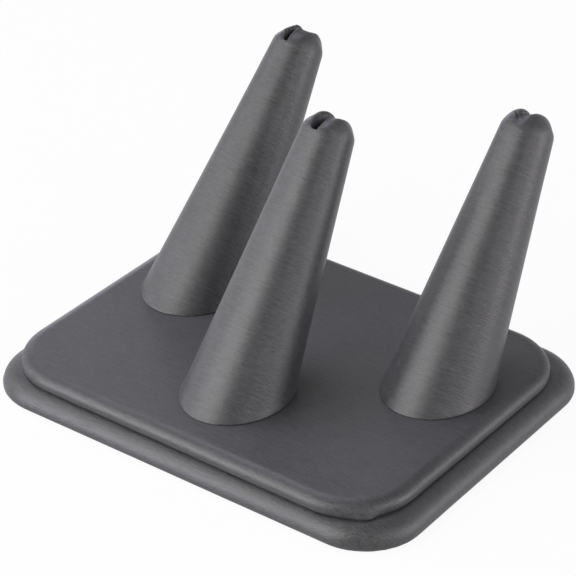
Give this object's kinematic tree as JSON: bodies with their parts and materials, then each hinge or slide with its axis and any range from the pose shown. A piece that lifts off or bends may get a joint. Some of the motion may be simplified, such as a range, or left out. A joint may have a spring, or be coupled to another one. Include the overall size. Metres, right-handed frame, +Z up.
{
  "type": "ring display stand",
  "caption": "Low leatherette-covered ring display stand: a stepped board with round corners carries tapered fingers that lean back, each with a slit over its domed tip.",
  "frame": {"origin": "middle of the felt underside, under the middle of the lower board", "axes": "+X along the long side, from the left finger to the right one; -Y to the front, where the middle finger stands, and the fingers lean towards +Y; +Z up"},
  "size_m": [0.13, 0.1105, 0.0756],
  "materials": {
    "board_leatherette": "matte, fine brushed grain",
    "finger_leatherette": "matte, fine brushed grain",
    "fibreboard": "raw, sawn edge",
    "turned_wood": "raw, turned",
    "screw_steel": "zinc plated",
    "felt": "short nap felt"
  },
  "bodies": {
    "root": {"finger_core_front": "turned_wood", "finger_core_left": "turned_wood", "finger_core_right": "turned_wood", "finger_cover_front": "finger_leatherette", "finger_cover_left": "finger_leatherette", "finger_cover_right": "finger_leatherette", "finger_screw_front": "screw_steel", "finger_screw_left": "screw_steel", "finger_screw_right": "screw_steel", "lower_board_core": "fibreboard", "lower_board_cover": "board_leatherette", "underside_liner": "felt", "upper_board_core": "fibreboard", "upper_board_cover": "board_leatherette"}
  },
  "joints": []
}
